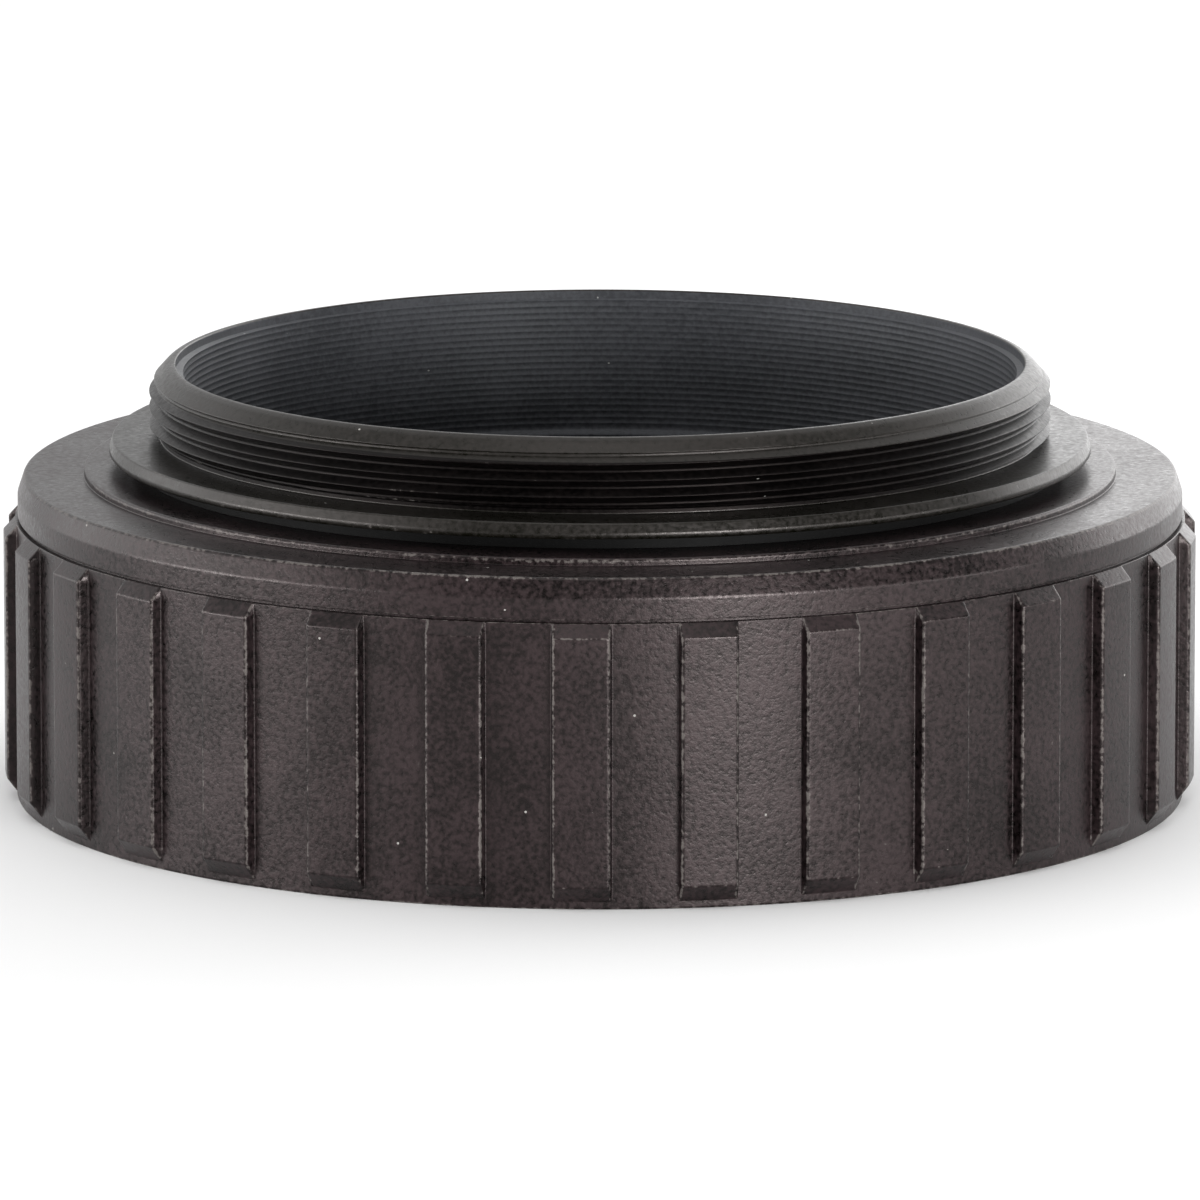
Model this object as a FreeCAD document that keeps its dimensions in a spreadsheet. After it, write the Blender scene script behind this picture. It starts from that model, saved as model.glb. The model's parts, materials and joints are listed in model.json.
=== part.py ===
"""A low, screw-on barlow lens for a telescope, drawn as a parametric FreeCAD document in millimetres.

The object stands on its coupling ring with the optical axis upright. +Z is the camera side and the origin
lies on the axis, in the plane of the ring's bottom edge. From the outside in it is made of:

  grip_ring               ribbed coupling ring with a female M48 x 0.75 thread, free to turn on the body
  nose_body               male M42 x 0.75 camera thread, collar disc and a neck tube with fine light rills
  top_glide_washer        plastic washer between the collar disc and the ring
  bottom_glide_washer     plastic washer under the ring's inner shoulder
  wave_washer             spring washer that takes up the axial play
  flange_nut              nut on the neck's lower end, which keeps the ring on the body
  glare_stop              thin black stop between the neck's ledge and the lens cell
  lens_cell               cell that screws up into the neck from the telescope side
  crown_element           biconcave negative lens of the cemented doublet
  flint_element           positive meniscus lens of the cemented doublet
  lens_cushion_ring       soft ring on the doublet's edge
  lens_retaining_ring     slotted threaded ring that holds the doublet in its cell
"""
import FreeCAD
import Part
import Sketcher
import math
import os
import re

OUT_FOLDER = "parts"
FULL_TURN = 360
LEAST_CUT = 1e-4     # mm3, the least that a cut has to take away
SAME_POINT = 1e-6    # mm
WAVE_POINTS = 48     # points round each rim of the wave washer

# How Sketcher numbers the origin and the two ends of an edge.
ORIGIN, FIRST, LAST = -1, 1, 2

# The sides that an arc can bulge to.
LEFT, RIGHT = 1, -1

# Driving dimensions: alias, value in mm (or degrees, or a count), what it is.
SIZES = [
    ("nose_major", 42.0, "camera thread, major diameter"),
    ("nose_length", 3.45, "from the collar disc to the nose's rim"),
    ("nose_bevel", 0.96, "lead-in bevel of the camera thread"),
    ("thread_pitch", 0.75, "pitch of both outer threads"),
    ("thread_depth", 0.4, "depth of both outer threads"),
    ("thread_root", 0.1, "flat at the bottom of the thread groove"),
    ("thread_flank", 30, "angle of the thread's flanks, in degrees"),
    ("cut_margin", 0.05, "how far a cut starts outside the metal"),
    ("relief_width", 0.36, "turned relief between the camera thread and the disc"),
    ("relief_depth", 0.5, "depth of that relief"),
    ("disc_reach", 1.97, "how far the collar disc stands out from the thread"),
    ("disc_taper", 0.26, "how far the disc's side leans in"),
    ("disc_thickness", 0.75, "collar disc"),
    ("disc_gap", 0.62, "open height between the ring's land and the disc"),
    ("mouth_wall", 1.23, "nose's wall at its plain mouth"),
    ("mouth_depth", 0.42, "depth of that mouth"),
    ("mouth_step", 0.35, "from the mouth in to the tips of the light rills"),
    ("rill_pitch", 0.3, "spacing of the light rills"),
    ("rill_depth", 0.17, "depth of the light rills"),
    ("rill_width", 0.24, "width of one rill at its mouth"),
    ("ledge_width", 0.62, "ledge in the neck that the glare stop bears on"),
    ("ledge_thickness", 0.3, "thickness of the ledge"),
    ("neck_inset", 0.35, "how far the neck lies inside the camera thread"),
    ("neck_thread_inset", 0.25, "how far the neck's own thread, drawn plain, lies inside the neck"),
    ("neck_wall", 1.15, "neck's wall at that thread"),
    ("thread_runout", 0.2, "how much longer that thread is than its nut"),
    ("thread_gap", 0.04, "radial clearance of the inner threads, which are drawn plain"),
    ("seat_gap", 0.01, "axial clearance where pieces bear on each other"),
    ("turning_gap", 0.05, "radial clearance between the neck and the ring"),
    ("nut_wall", 3.0, "flange nut's radial width"),
    ("nut_thickness", 2.4, "flange nut"),
    ("nut_pass", 0.2, "radial clearance of the nut on its way in through the telescope thread"),
    ("notch_width", 2.0, "spanner notches in the flange nut"),
    ("notch_depth", 1.1, "depth of those notches"),
    ("notch_count", 4, "notches round the nut"),
    ("washer_gap", 0.1, "radial clearance of the washers on the neck"),
    ("washer_inset", 0.2, "how far the lower washers' rims lie inside the nut's"),
    ("glide_thickness", 0.3, "plastic glide washer under the shoulder"),
    ("top_glide_width", 0.85, "radial width of the upper glide washer"),
    ("wave_space", 0.5, "height that the wave washer works in"),
    ("wave_thickness", 0.2, "sheet of the wave washer"),
    ("wave_clearance", 0.02, "what the wave washer keeps off the pieces beside it"),
    ("wave_count", 4, "waves round the wave washer"),
    ("socket_depth", 4.8, "depth of the telescope socket"),
    ("socket_bevel", 0.5, "lead-in bevel of the telescope thread"),
    ("plain_end", 0.5, "plain stretch of the socket past the end of its thread"),
    ("mate_gap", 0.4, "from the end of that socket to the neck's lower end"),
    ("chamber_relief", 0.25, "how far the chamber lies outside the telescope thread"),
    ("ring_wall", 3.28, "grip ring's wall from the telescope thread to the floor between the ribs"),
    ("ring_height", 15.1, "height of the grip ring's flat top"),
    ("ring_edge", 0.1, "bevel on the ring's top and bottom outer edges"),
    ("ring_turn", -1.75, "angle that the ring stands at, in degrees"),
    ("rib_depth", 0.55, "from the ribs' tops to the floor between them"),
    ("rib_count", 30, "ribs round the grip ring"),
    ("slot_angle", 6.3, "angle that the floor between two ribs takes, in degrees"),
    ("slot_flare", 0.45, "how much wider each side of a slot is at its mouth, in degrees"),
    ("slot_reach", 0.3, "how far the slot's cut runs outside the ribs"),
    ("flare_depth", 0.18, "how far down a slot's side the flare starts"),
    ("rib_foot", 0.38, "height of the plain edge under the ribs"),
    ("foot_bevel", 0.71, "height of the bevel at the ribs' lower ends"),
    ("head_bevel", 0.58, "height of the bevel at the ribs' upper ends"),
    ("band_height", 2.02, "from the ribs' upper ends to the ring's top"),
    ("band_set_back", 0.12, "how far the plain band lies inside the floor between the ribs"),
    ("band_lean", 0.3, "how far the band's upper part leans in"),
    ("lean_height", 0.9, "height of that leaning part"),
    ("line_depth", 0.14, "depth of the fine turned line between the band and the ribs"),
    ("line_width", 0.14, "width of that line"),
    ("land_width", 3.35, "radial width of the raised land round the ring's bore"),
    ("land_rise", 0.34, "height of that land"),
    ("cell_wall", 3.75, "lens cell's wall beside the doublet"),
    ("lens_gap", 0.05, "radial clearance round the doublet"),
    ("lens_seat", 0.5, "thickness of the cell's lower lip"),
    ("lens_lip", 0.7, "how far the lip and the retaining ring reach over the doublet's edge"),
    ("keeper_reach", 0.7, "how far the retaining ring stands out past the doublet's edge"),
    ("keeper_thickness", 1.2, "lens retaining ring"),
    ("stop_margin", 0.1, "how far the glare stop's opening lies outside the retaining ring"),
    ("stop_thickness", 0.3, "glare stop"),
    ("outer_curve", 95.0, "radius of the crown's lower face"),
    ("inner_curve", 58.0, "radius of the cemented faces"),
    ("upper_curve", 160.0, "radius of the flint's upper face"),
    ("crown_middle", 1.2, "crown's thickness on the axis"),
    ("flint_middle", 2.4, "flint's thickness on the axis"),
    ("cement_film", 0.02, "optical cement between the two lenses"),
    ("cushion_thickness", 0.3, "cushion ring"),
    ("slot_width", 1.2, "spanner slots in the retaining ring and the cell"),
    ("slot_depth", 0.6, "depth of those slots"),
    ("slot_count", 2, "spanner slots in each of them"),
]

# Sizes that follow from the driving ones: alias, formula over the aliases above it, what it is.
DERIVED = [
    ("nose_r", "nose_major / 2", "camera thread's outer radius"),
    ("nose_root", "nose_r - thread_depth", "camera thread's inner radius"),
    ("relief_r", "nose_r - relief_depth", "radius of the relief"),
    ("disc_r", "nose_r + disc_reach", "radius of the disc's lower edge"),
    ("mouth_r", "nose_r - mouth_wall", "radius of the nose's mouth"),
    ("rill_r", "mouth_r - mouth_step", "radius of the rills' tips"),
    ("ledge_r", "rill_r - ledge_width", "radius of the ledge's opening"),
    ("neck_r", "nose_r - neck_inset", "radius of the neck"),
    ("bore_r", "neck_r + turning_gap", "radius of the ring's bore"),
    ("land_r", "bore_r + land_width", "radius of the raised land"),
    ("neck_thread_r", "neck_r - neck_thread_inset", "radius of the neck's thread"),
    ("nut_bore_r", "neck_thread_r + thread_gap", "radius of the nut's bore"),
    ("nut_r", "neck_thread_r + nut_wall", "radius of the nut"),
    ("washer_bore_r", "neck_r + washer_gap", "radius of the washers' bores"),
    ("washer_r", "nut_r - washer_inset", "radius of the lower washers"),
    ("top_glide_r", "washer_bore_r + top_glide_width", "radius of the upper glide washer"),
    ("socket_r", "nut_r + nut_pass", "telescope thread's inner radius"),
    ("socket_outer", "socket_r + thread_depth", "its outer radius, half of 48 mm as the sizes stand"),
    ("chamber_r", "socket_outer + chamber_relief", "radius of the chamber for the nut"),
    ("floor_r", "socket_outer + ring_wall", "radius of the floor between the ribs"),
    ("rib_r", "floor_r + rib_depth", "radius over the ribs"),
    ("knee_r", "rib_r - flare_depth", "radius where a slot's flare starts"),
    ("slot_far_r", "rib_r + slot_reach", "radius that the slot's cut runs out to"),
    ("band_r", "floor_r - band_set_back", "radius of the plain band"),
    ("mouth_angle", "slot_angle / 2 + slot_flare", "half the slot's angle at its mouth"),
    ("cell_r", "neck_thread_r - neck_wall", "radius of the lens cell"),
    ("cell_bore_r", "cell_r + thread_gap", "radius of the neck's lower bore"),
    ("lens_bore_r", "cell_r - cell_wall + lens_gap", "radius of the cell's bore"),
    ("lens_r", "lens_bore_r - lens_gap", "radius of the doublet"),
    ("aperture_r", "lens_r - lens_lip", "radius of the lens opening"),
    ("keeper_r", "lens_r + keeper_reach", "radius of the retaining ring"),
    ("keeper_bore_r", "keeper_r + thread_gap", "radius of its thread in the cell"),
    ("stop_r", "keeper_r + stop_margin", "radius of the glare stop's opening"),
    ("root_half", "thread_root / 2", "half the flat of the thread groove"),
    ("groove_half", "root_half + (thread_depth + cut_margin) * tan(thread_flank)", "half its mouth"),
    ("neck_foot", "socket_depth + mate_gap", "height of the neck's lower end"),
    ("nut_top", "neck_foot + nut_thickness", "height of the nut's upper face"),
    ("neck_step", "nut_top + thread_runout", "height where the neck takes its full size"),
    ("glide_foot", "nut_top + wave_space", "height of the lower glide washer's foot"),
    ("glide_top", "glide_foot + glide_thickness", "height of its top"),
    ("shoulder", "glide_top + seat_gap", "height of the ring's inner shoulder"),
    ("wave_swing", "wave_space / 2 - wave_thickness / 2 - wave_clearance", "half the wave's height"),
    ("rib_head", "ring_height - band_height", "height where the ribs end"),
    ("line_top", "rib_head + line_width", "height of the turned line's upper side"),
    ("land_top", "ring_height + land_rise", "height of the land"),
    ("disc_foot", "land_top + disc_gap", "height of the disc's lower face"),
    ("disc_top", "disc_foot + disc_thickness", "height of the disc's upper face"),
    ("nose_start", "disc_top + relief_width", "height where the camera thread starts"),
    ("nose_top", "disc_top + nose_length", "height of the nose's rim"),
    ("rill_top", "nose_top - mouth_depth", "height where the rills begin"),
    ("rill_first", "rill_top - rill_pitch / 2", "height of the first rill"),
    ("cell_seat", "neck_foot + lens_seat", "height of the cell's lower lip"),
    ("lens_foot", "cell_seat + seat_gap", "height of the crown's lower edge"),
    ("sag_outer", "outer_curve - sqrt(outer_curve^2 - lens_r^2)", "depth of the lower curve"),
    ("sag_inner", "inner_curve - sqrt(inner_curve^2 - lens_r^2)", "depth of the cemented curve"),
    ("sag_upper", "upper_curve - sqrt(upper_curve^2 - lens_r^2)", "depth of the upper curve"),
    ("crown_low", "lens_foot + sag_outer", "crown's lower face on the axis"),
    ("crown_high", "crown_low + crown_middle", "crown's upper face on the axis"),
    ("crown_edge", "crown_high + sag_inner", "crown's upper edge"),
    ("flint_low", "crown_high + cement_film", "flint's lower face on the axis"),
    ("flint_foot", "flint_low + sag_inner", "flint's lower edge"),
    ("flint_high", "flint_low + flint_middle", "flint's upper face on the axis"),
    ("flint_edge", "flint_high + sag_upper", "flint's upper edge"),
    ("cushion_foot", "flint_edge + seat_gap", "height of the cushion ring's lower face"),
    ("cushion_top", "cushion_foot + cushion_thickness", "height of its upper face"),
    ("keeper_foot", "cushion_top + seat_gap", "height of the retaining ring's lower face"),
    ("cell_top", "keeper_foot + keeper_thickness", "height of the cell's top"),
    ("stop_foot", "cell_top + seat_gap", "height of the glare stop's lower face"),
    ("stop_top", "stop_foot + stop_thickness", "height of its upper face"),
    ("ledge_foot", "stop_top + seat_gap", "height of the ledge's lower face"),
    ("ledge_top", "ledge_foot + ledge_thickness", "height of the ledge's upper face"),
    ("rill_number", "floor((rill_top - ledge_top) / rill_pitch)", "how many rills"),
]


def fill_sheet(doc):
    """Writes both tables into a spreadsheet, one row for each size, with its alias on the value's cell."""
    sheet = doc.addObject("Spreadsheet::Sheet", "Sizes")
    plain = [(alias, str(value), note) for alias, value, note in SIZES]
    worked_out = [(alias, "=" + formula, note) for alias, formula, note in DERIVED]
    for row, (alias, content, note) in enumerate(plain + worked_out, start=1):
        sheet.set(f"A{row}", alias)
        sheet.set(f"B{row}", content)
        sheet.set(f"C{row}", note)
        sheet.setAlias(f"B{row}", alias)
    doc.recompute()
    return sheet


def bound(formula):
    """Puts the sheet's name in front of each alias in a formula."""
    aliases = {line[0] for line in SIZES + DERIVED}
    words = re.split(r"(\w+)", formula)
    return "".join("Sizes." + word if word in aliases else word for word in words)


def number(doc, formula):
    """What a formula over the sheet comes to."""
    return float(doc.Sizes.evalExpression(bound(formula)))


def own_datum(body, role):
    """One of the body's own origin planes or axes, found by its role."""
    return next(datum for datum in body.Origin.OriginFeatures if datum.Role == role)


def arc_between(start, finish, radius, side):
    """The shorter arc of that radius between two points, with its bulge to the left or right of the way
    from start to finish. A sketch's arcs run anticlockwise, so one that bulges left is drawn backwards."""
    along = finish - start
    across = FreeCAD.Vector(-along.y, along.x, 0).normalize()
    rise = radius - math.sqrt(radius**2 - along.Length**2 / 4)
    top = (start + finish) / 2 + across * rise * side
    return Part.Arc(finish, top, start) if side == LEFT else Part.Arc(start, top, finish)


def pin_point(sketch, edge, end, corner, label):
    """Ties one end of an edge to its two formulas, measured from the sketch's origin."""
    for kind, formula in zip(("DistanceX", "DistanceY"), corner):
        distance = number(sketch.Document, formula)
        rule = Sketcher.Constraint(kind, ORIGIN, FIRST, edge, end, distance)
        index = sketch.addConstraint(rule)
        sketch.renameConstraint(index, f"{label}_{kind[-1]}")
        sketch.setExpression(f"Constraints.{label}_{kind[-1]}", bound(formula))


def outline(body, name, plane, corners, arcs=None):
    """A closed sketch through corners given as pairs of formulas. arcs gives, for the number of an edge,
    the formula of its radius and the side that it bulges to."""
    arcs = arcs or {}
    sketch = body.newObject("Sketcher::SketchObject", name)
    sketch.AttachmentSupport = (own_datum(body, plane), [""])
    sketch.MapMode = "FlatFace"
    spots = [FreeCAD.Vector(*(number(body.Document, value) for value in corner)) for corner in corners]
    starts = []
    for edge, spot in enumerate(spots):
        following = spots[(edge + 1) % len(spots)]
        if edge in arcs:
            radius, side = arcs[edge]
            sketch.addGeometry(arc_between(spot, following, number(body.Document, radius), side))
        else:
            sketch.addGeometry(Part.LineSegment(spot, following))
        drawn_on = (sketch.Geometry[edge].StartPoint - spot).Length < SAME_POINT
        starts.append(FIRST if drawn_on else LAST)
    for edge, corner in enumerate(corners):
        before = edge - 1 if edge else len(corners) - 1
        before_end = LAST if starts[before] == FIRST else FIRST
        sketch.addConstraint(Sketcher.Constraint("Coincident", before, before_end, edge, starts[edge]))
        pin_point(sketch, edge, starts[edge], corner, f"corner{edge}")
    for edge, (radius, _side) in arcs.items():
        rule = Sketcher.Constraint("Radius", edge, number(body.Document, radius))
        sketch.renameConstraint(sketch.addConstraint(rule), f"bend{edge}")
        sketch.setExpression(f"Constraints.bend{edge}", bound(radius))
    sketch.Visibility = False
    return sketch


def turned(doc, label, corners, arcs=None):
    """A body turned round Z from an outline of (radius, height) corners."""
    body = doc.addObject("PartDesign::Body", label)
    section = outline(body, label + "_section", "XZ_Plane", corners, arcs)
    turn = body.newObject("PartDesign::Revolution", label + "_turn")
    turn.Profile = section
    turn.ReferenceAxis = (section, ["V_Axis"])
    turn.Angle = FULL_TURN
    doc.recompute()
    return body


def washer(doc, label, inner, outer, foot, head):
    """A flat ring between two radii and two heights."""
    return turned(doc, label, [(inner, foot), (outer, foot), (outer, head), (inner, head)])


def settle(body, before, what):
    """Recomputes, and stops if the cut that was just made took nothing away."""
    body.Document.recompute()
    if body.Shape.Volume > before - LEAST_CUT:
        raise RuntimeError(f"{body.Label}: {what} removed nothing")


def cut_thread(body, name, corners, height):
    """Cuts a right-handed groove whose (radius, height) section climbs by that height."""
    before = body.Shape.Volume
    section = outline(body, name + "_section", "XZ_Plane", corners)
    thread = body.newObject("PartDesign::SubtractiveHelix", name)
    thread.Profile = section
    thread.ReferenceAxis = (section, ["V_Axis"])
    thread.Mode = "pitch-height-angle"
    thread.setExpression("Pitch", bound("thread_pitch"))
    thread.setExpression("Height", bound(height))
    settle(body, before, name)


def cut_round(body, name, corners, foot, height, count, arcs=None):
    """Cuts an (x, y) outline up from a height, and repeats the cut evenly round the axis."""
    before = body.Shape.Volume
    flat = outline(body, name + "_outline", "XY_Plane", corners, arcs)
    flat.setExpression("AttachmentOffset.Base.z", bound(foot))
    pocket = body.newObject("PartDesign::Pocket", name)
    pocket.Profile = flat
    pocket.Reversed = True
    pocket.setExpression("Length", bound(height))
    settle(body, before, name)
    before = body.Shape.Volume
    ring = body.newObject("PartDesign::PolarPattern", name + "_ring")
    ring.Originals = [pocket]
    ring.Axis = (own_datum(body, "Z_Axis"), [""])
    ring.Angle = FULL_TURN
    ring.setExpression("Occurrences", bound(count))
    body.Tip = ring
    settle(body, before, name + "_ring")


def bar(inner, outer, width):
    """Corners of a straight bar along X between two radii."""
    half = f"{width} / 2"
    return [(inner, "-" + half), (outer, "-" + half), (outer, half), (inner, half)]


def grip_ring(doc):
    """The ribbed outer ring, with the telescope thread below and the bearing bore above."""
    body = turned(doc, "grip_ring", [
        ("socket_r + socket_bevel", "0"),
        ("floor_r - ring_edge", "0"),
        ("floor_r", "ring_edge"),
        ("floor_r", "rib_foot"),
        ("rib_r", "rib_foot + foot_bevel"),
        ("rib_r", "rib_head - head_bevel"),
        ("floor_r", "rib_head"),
        ("band_r - line_depth", "rib_head"),
        ("band_r - line_depth", "line_top"),
        ("band_r", "line_top"),
        ("band_r", "ring_height - lean_height"),
        ("band_r - band_lean", "ring_height - ring_edge"),
        ("band_r - band_lean - ring_edge", "ring_height"),
        ("land_r", "ring_height"),
        ("land_r", "land_top"),
        ("bore_r", "land_top"),
        ("bore_r", "shoulder"),
        ("chamber_r", "shoulder"),
        ("chamber_r", "socket_depth"),
        ("socket_r", "socket_depth"),
        ("socket_r", "socket_bevel"),
    ])
    cut_round(body, "rib_slot", slot_corners(), "rib_foot", "rib_head - rib_foot", "rib_count",
              arcs={5: ("floor_r", LEFT)})
    cut_thread(body, "telescope_thread", [
        ("socket_r - cut_margin", "-2 * groove_half"),
        ("socket_outer", "-groove_half - root_half"),
        ("socket_outer", "root_half - groove_half"),
        ("socket_r - cut_margin", "0"),
    ], "socket_depth - plain_end")
    turn = FreeCAD.Rotation(FreeCAD.Vector(0, 0, 1), number(doc, "ring_turn"))
    body.Placement = FreeCAD.Placement(FreeCAD.Vector(0, 0, 0), turn)
    return body


def slot_corners():
    """Outline of one slot between two ribs, centred on X, with a curved floor and a flared mouth."""
    one_side = [("floor_r", "slot_angle / 2"), ("knee_r", "slot_angle / 2"), ("slot_far_r", "mouth_angle")]
    lower = [(f"{radius} * cos({angle})", f"-{radius} * sin({angle})") for radius, angle in one_side]
    upper = [(f"{radius} * cos({angle})", f"{radius} * sin({angle})") for radius, angle in one_side]
    return lower + upper[::-1]


def nose_body(doc):
    """The inner tube: neck, collar disc and camera thread, with light rills in its bore."""
    body = turned(doc, "nose_body", [
        ("cell_bore_r", "neck_foot"),
        ("neck_thread_r", "neck_foot"),
        ("neck_thread_r", "neck_step"),
        ("neck_r", "neck_step"),
        ("neck_r", "disc_foot"),
        ("disc_r", "disc_foot"),
        ("disc_r - disc_taper", "disc_top"),
        ("relief_r", "disc_top"),
        ("relief_r", "nose_start"),
        ("nose_r", "nose_start"),
        ("nose_r", "nose_top - nose_bevel"),
        ("nose_r - nose_bevel", "nose_top"),
        ("mouth_r", "nose_top"),
        ("mouth_r", "rill_top"),
        ("rill_r", "rill_top"),
        ("rill_r", "ledge_top"),
        ("ledge_r", "ledge_top"),
        ("ledge_r", "ledge_foot"),
        ("cell_bore_r", "ledge_foot"),
    ])
    cut_rills(body)
    cut_thread(body, "camera_thread", [
        ("-nose_root", "disc_top + groove_half + root_half"),
        ("-nose_root", "disc_top + groove_half - root_half"),
        ("-nose_r - cut_margin", "disc_top"),
        ("-nose_r - cut_margin", "disc_top + 2 * groove_half"),
    ], "nose_length - groove_half")
    return body


def cut_rills(body):
    """Grooves one V-shaped rill in the bore and repeats it down to the ledge."""
    before = body.Shape.Volume
    section = outline(body, "rill_section", "XZ_Plane", [
        ("rill_r - cut_margin", "rill_first - rill_width / 2"),
        ("rill_r", "rill_first - rill_width / 2"),
        ("rill_r + rill_depth", "rill_first"),
        ("rill_r", "rill_first + rill_width / 2"),
        ("rill_r - cut_margin", "rill_first + rill_width / 2"),
    ])
    rill = body.newObject("PartDesign::Groove", "rill")
    rill.Profile = section
    rill.ReferenceAxis = (section, ["V_Axis"])
    rill.Angle = FULL_TURN
    settle(body, before, "rill")
    before = body.Shape.Volume
    row = body.newObject("PartDesign::LinearPattern", "rill_row")
    row.Originals = [rill]
    row.Direction = (own_datum(body, "Z_Axis"), [""])
    row.Reversed = True
    row.setExpression("Length", bound("rill_pitch * (rill_number - 1)"))
    row.setExpression("Occurrences", bound("rill_number"))
    body.Tip = row
    settle(body, before, "rill_row")


def flange_nut(doc):
    """The nut that keeps the ring on the neck, with spanner notches in its lower face."""
    body = washer(doc, "flange_nut", "nut_bore_r", "nut_r", "neck_foot", "nut_top")
    corners = bar("nut_r - notch_depth", "nut_r + notch_depth", "notch_width")
    cut_round(body, "notch", corners, "neck_foot", "nut_thickness", "notch_count")
    return body


def wave_washer(doc):
    """A spring washer of even sheet that waves up and down as it goes round."""
    waves = number(doc, "wave_count")
    swing = number(doc, "wave_swing")
    sheet = number(doc, "wave_thickness")
    foot = number(doc, "nut_top + wave_space / 2 - wave_thickness / 2")
    rims = []
    for radius in (number(doc, "washer_bore_r"), number(doc, "washer_r")):
        points = []
        for step in range(WAVE_POINTS):
            angle = 2 * math.pi * step / WAVE_POINTS
            height = foot + swing * math.sin(waves * angle)
            points.append(FreeCAD.Vector(radius * math.cos(angle), radius * math.sin(angle), height))
        curve = Part.BSplineCurve()
        curve.interpolate(Points=points, PeriodicFlag=True)
        rims.append(curve.toShape())
    feature = doc.addObject("Part::Feature", "wave_washer")
    feature.Shape = Part.makeRuledSurface(*rims).extrude(FreeCAD.Vector(0, 0, sheet))
    feature.Placement = FreeCAD.Placement()
    return feature


def lens_cell(doc):
    """The cell, which carries the doublet on its lower lip."""
    body = turned(doc, "lens_cell", [
        ("aperture_r", "neck_foot"),
        ("cell_r", "neck_foot"),
        ("cell_r", "cell_top"),
        ("keeper_bore_r", "cell_top"),
        ("keeper_bore_r", "cushion_foot"),
        ("lens_bore_r", "cushion_foot"),
        ("lens_bore_r", "cell_seat"),
        ("aperture_r", "cell_seat"),
    ])
    corners = bar("cell_r - 2 * slot_width", "cell_r + slot_width", "slot_width")
    cut_round(body, "cell_slot", corners, "neck_foot", "slot_depth", "slot_count")
    return body


def crown_element(doc):
    """The biconcave lens, which faces the telescope."""
    corners = [("0", "crown_low"), ("lens_r", "lens_foot"), ("lens_r", "crown_edge"), ("0", "crown_high")]
    return turned(doc, "crown_element", corners, {0: ("outer_curve", LEFT), 2: ("inner_curve", LEFT)})


def flint_element(doc):
    """The meniscus lens, which faces the camera."""
    corners = [("0", "flint_low"), ("lens_r", "flint_foot"), ("lens_r", "flint_edge"), ("0", "flint_high")]
    return turned(doc, "flint_element", corners, {0: ("inner_curve", RIGHT), 2: ("upper_curve", LEFT)})


def lens_retaining_ring(doc):
    """The threaded ring over the doublet, with spanner slots in its upper face."""
    body = washer(doc, "lens_retaining_ring", "aperture_r", "keeper_r", "keeper_foot", "cell_top")
    corners = bar("aperture_r - slot_width", "keeper_r + slot_width", "slot_width")
    cut_round(body, "keeper_slot", corners, "cell_top - slot_depth", "slot_depth", "slot_count")
    return body


def check(doc, pieces):
    """Stops if anything failed to compute or a piece isn't one sound solid."""
    for thing in doc.Objects:
        if {"Invalid", "Error"} & set(thing.State):
            raise RuntimeError(f"{thing.Label}: {thing.State}")
    for piece in pieces:
        if piece.Shape.isNull() or not piece.Shape.isValid() or len(piece.Shape.Solids) != 1:
            raise RuntimeError(f"{piece.Label}: not one sound solid")


def write(pieces):
    """Writes each piece to its own file, and prints its height range and volume."""
    os.makedirs(OUT_FOLDER, exist_ok=True)
    for piece in pieces:
        piece.Shape.exportStep(f"{OUT_FOLDER}/{piece.Label}.step")
        box = piece.Shape.BoundBox
        print(f"{piece.Label:22} z {box.ZMin:7.3f} to {box.ZMax:7.3f}  {piece.Shape.Volume:9.2f} mm3")


def main():
    doc = FreeCAD.newDocument("BarlowLens")
    fill_sheet(doc)
    pieces = [
        grip_ring(doc),
        nose_body(doc),
        washer(doc, "top_glide_washer", "washer_bore_r", "top_glide_r",
               "land_top + seat_gap", "disc_foot - seat_gap"),
        washer(doc, "bottom_glide_washer", "washer_bore_r", "washer_r", "glide_foot", "glide_top"),
        wave_washer(doc),
        flange_nut(doc),
        washer(doc, "glare_stop", "stop_r", "cell_r", "stop_foot", "stop_top"),
        lens_cell(doc),
        crown_element(doc),
        flint_element(doc),
        washer(doc, "lens_cushion_ring", "aperture_r", "lens_r", "cushion_foot", "cushion_top"),
        lens_retaining_ring(doc),
    ]
    doc.recompute()
    check(doc, pieces)
    write(pieces)


main()
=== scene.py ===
# %% [markdown]
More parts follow.
